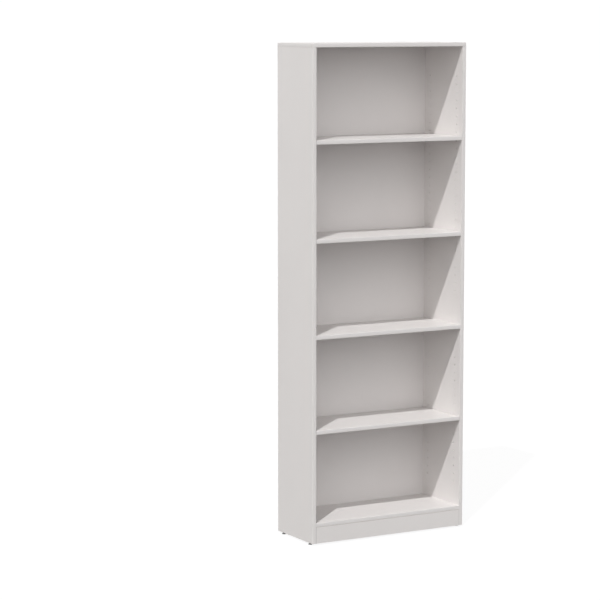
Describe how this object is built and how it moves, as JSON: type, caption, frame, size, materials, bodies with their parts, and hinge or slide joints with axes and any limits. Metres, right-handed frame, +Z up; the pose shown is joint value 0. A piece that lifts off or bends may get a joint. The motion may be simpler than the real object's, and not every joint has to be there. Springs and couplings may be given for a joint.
{
  "type": "bookcase with adjustable shelves",
  "caption": "Tall narrow open bookcase: board sides, capping top, kick plate, one fixed shelf, pin-held shelves in drilled rows, thin back panel and screw-adjusted levelling glides.",
  "frame": {"origin": "on the floor, under the middle of the case's overall box", "axes": "+Z up, -Y towards the open front, +X to the right seen from the front"},
  "size_m": [0.705, 0.279, 1.968],
  "materials": {
    "laminate": "satin pale warm-grey melamine on chipboard",
    "edge_band": "satin pale warm-grey edge band",
    "hardboard": "pale foil face, brown pressed fibre rear",
    "beech": "plain fluted beech",
    "cap_plastic": "satin moulded plastic",
    "nail_steel": "drawn steel wire",
    "nickel_steel": "nickel-plated steel",
    "zinc_steel": "zinc-plated steel",
    "pad_nylon": "grey nylon"
  },
  "bodies": {
    "case": {"left_side": "laminate", "right_side": "laminate", "top_panel": "laminate", "bottom_shelf": "laminate", "fixed_shelf": "laminate", "kick_plate": "laminate", "back_panel": "hardboard", "left_side_edge_band": "edge_band", "right_side_edge_band": "edge_band", "top_edge_band": "edge_band", "bottom_shelf_edge_band": "edge_band", "fixed_shelf_edge_band": "edge_band", "top_screws": "zinc_steel", "top_screw_caps": "cap_plastic", "top_dowels": "beech", "bottom_shelf_cams": "zinc_steel", "bottom_shelf_cam_bolts": "zinc_steel", "bottom_shelf_dowels": "beech", "fixed_shelf_cams": "zinc_steel", "fixed_shelf_cam_bolts": "zinc_steel", "fixed_shelf_dowels": "beech", "kick_plate_cams": "zinc_steel", "kick_plate_cam_bolts": "zinc_steel", "kick_plate_dowels": "beech", "back_nails": "nail_steel", "glide_sleeve_left_front": "zinc_steel", "glide_sleeve_left_rear": "zinc_steel", "glide_sleeve_right_front": "zinc_steel", "glide_sleeve_right_rear": "zinc_steel"},
    "shelf_1": {"adjustable_shelf_1": "laminate", "adjustable_shelf_1_edge_band": "edge_band"},
    "shelf_2": {"adjustable_shelf_2": "laminate", "adjustable_shelf_2_edge_band": "edge_band"},
    "shelf_3": {"adjustable_shelf_3": "laminate", "adjustable_shelf_3_edge_band": "edge_band"},
    "shelf_1_pin_left_front_body": {"shelf_1_pin_left_front": "nickel_steel"},
    "shelf_1_pin_left_rear_body": {"shelf_1_pin_left_rear": "nickel_steel"},
    "shelf_1_pin_right_front_body": {"shelf_1_pin_right_front": "nickel_steel"},
    "shelf_1_pin_right_rear_body": {"shelf_1_pin_right_rear": "nickel_steel"},
    "shelf_2_pin_left_front_body": {"shelf_2_pin_left_front": "nickel_steel"},
    "shelf_2_pin_left_rear_body": {"shelf_2_pin_left_rear": "nickel_steel"},
    "shelf_2_pin_right_front_body": {"shelf_2_pin_right_front": "nickel_steel"},
    "shelf_2_pin_right_rear_body": {"shelf_2_pin_right_rear": "nickel_steel"},
    "shelf_3_pin_left_front_body": {"shelf_3_pin_left_front": "nickel_steel"},
    "shelf_3_pin_left_rear_body": {"shelf_3_pin_left_rear": "nickel_steel"},
    "shelf_3_pin_right_front_body": {"shelf_3_pin_right_front": "nickel_steel"},
    "shelf_3_pin_right_rear_body": {"shelf_3_pin_right_rear": "nickel_steel"},
    "glide_foot_left_front": {"glide_pad_left_front": "pad_nylon"},
    "glide_screw_left_front": {"glide_stem_left_front": "zinc_steel"},
    "glide_foot_left_rear": {"glide_pad_left_rear": "pad_nylon"},
    "glide_screw_left_rear": {"glide_stem_left_rear": "zinc_steel"},
    "glide_foot_right_front": {"glide_pad_right_front": "pad_nylon"},
    "glide_screw_right_front": {"glide_stem_right_front": "zinc_steel"},
    "glide_foot_right_rear": {"glide_pad_right_rear": "pad_nylon"},
    "glide_screw_right_rear": {"glide_stem_right_rear": "zinc_steel"}
  },
  "joints": [
    {"name": "shelf_1_pull", "type": "slide", "parent": "case", "child": "shelf_1", "axis": [0, -1, 0], "range_m": [0, 0.3]},
    {"name": "shelf_2_pull", "type": "slide", "parent": "case", "child": "shelf_2", "axis": [0, -1, 0], "range_m": [0, 0.3]},
    {"name": "shelf_3_pull", "type": "slide", "parent": "case", "child": "shelf_3", "axis": [0, -1, 0], "range_m": [0, 0.3]},
    {"name": "shelf_1_pin_left_front_pull", "type": "slide", "parent": "case", "child": "shelf_1_pin_left_front_body", "axis": [1, 0, 0], "range_m": [0, 0.012]},
    {"name": "shelf_1_pin_left_rear_pull", "type": "slide", "parent": "case", "child": "shelf_1_pin_left_rear_body", "axis": [1, 0, 0], "range_m": [0, 0.012]},
    {"name": "shelf_1_pin_right_front_pull", "type": "slide", "parent": "case", "child": "shelf_1_pin_right_front_body", "axis": [-1, 0, 0], "range_m": [0, 0.012]},
    {"name": "shelf_1_pin_right_rear_pull", "type": "slide", "parent": "case", "child": "shelf_1_pin_right_rear_body", "axis": [-1, 0, 0], "range_m": [0, 0.012]},
    {"name": "shelf_2_pin_left_front_pull", "type": "slide", "parent": "case", "child": "shelf_2_pin_left_front_body", "axis": [1, 0, 0], "range_m": [0, 0.012]},
    {"name": "shelf_2_pin_left_rear_pull", "type": "slide", "parent": "case", "child": "shelf_2_pin_left_rear_body", "axis": [1, 0, 0], "range_m": [0, 0.012]},
    {"name": "shelf_2_pin_right_front_pull", "type": "slide", "parent": "case", "child": "shelf_2_pin_right_front_body", "axis": [-1, 0, 0], "range_m": [0, 0.012]},
    {"name": "shelf_2_pin_right_rear_pull", "type": "slide", "parent": "case", "child": "shelf_2_pin_right_rear_body", "axis": [-1, 0, 0], "range_m": [0, 0.012]},
    {"name": "shelf_3_pin_left_front_pull", "type": "slide", "parent": "case", "child": "shelf_3_pin_left_front_body", "axis": [1, 0, 0], "range_m": [0, 0.012]},
    {"name": "shelf_3_pin_left_rear_pull", "type": "slide", "parent": "case", "child": "shelf_3_pin_left_rear_body", "axis": [1, 0, 0], "range_m": [0, 0.012]},
    {"name": "shelf_3_pin_right_front_pull", "type": "slide", "parent": "case", "child": "shelf_3_pin_right_front_body", "axis": [-1, 0, 0], "range_m": [0, 0.012]},
    {"name": "shelf_3_pin_right_rear_pull", "type": "slide", "parent": "case", "child": "shelf_3_pin_right_rear_body", "axis": [-1, 0, 0], "range_m": [0, 0.012]},
    {"name": "glide_left_front_travel", "type": "slide", "parent": "case", "child": "glide_foot_left_front", "axis": [0, 0, -1], "range_m": [0, 0.012]},
    {"name": "glide_left_front_turn", "type": "hinge", "parent": "glide_foot_left_front", "child": "glide_screw_left_front", "pos_m": [-0.3445, -0.1065, 0.0034], "axis": [0, 0, -1], "range_deg": [0, 4320]},
    {"name": "glide_left_rear_travel", "type": "slide", "parent": "case", "child": "glide_foot_left_rear", "axis": [0, 0, -1], "range_m": [0, 0.012]},
    {"name": "glide_left_rear_turn", "type": "hinge", "parent": "glide_foot_left_rear", "child": "glide_screw_left_rear", "pos_m": [-0.3445, 0.1065, 0.0034], "axis": [0, 0, -1], "range_deg": [0, 4320]},
    {"name": "glide_right_front_travel", "type": "slide", "parent": "case", "child": "glide_foot_right_front", "axis": [0, 0, -1], "range_m": [0, 0.012]},
    {"name": "glide_right_front_turn", "type": "hinge", "parent": "glide_foot_right_front", "child": "glide_screw_right_front", "pos_m": [0.3445, -0.1065, 0.0034], "axis": [0, 0, -1], "range_deg": [0, 4320]},
    {"name": "glide_right_rear_travel", "type": "slide", "parent": "case", "child": "glide_foot_right_rear", "axis": [0, 0, -1], "range_m": [0, 0.012]},
    {"name": "glide_right_rear_turn", "type": "hinge", "parent": "glide_foot_right_rear", "child": "glide_screw_right_rear", "pos_m": [0.3445, 0.1065, 0.0034], "axis": [0, 0, -1], "range_deg": [0, 4320]}
  ],
  "couplings": [
    {"joint": "glide_left_front_turn", "follows": "glide_left_front_travel", "rad_per_m": 6283.2},
    {"joint": "glide_left_rear_turn", "follows": "glide_left_rear_travel", "rad_per_m": 6283.2},
    {"joint": "glide_right_front_turn", "follows": "glide_right_front_travel", "rad_per_m": 6283.2},
    {"joint": "glide_right_rear_turn", "follows": "glide_right_rear_travel", "rad_per_m": 6283.2}
  ]
}
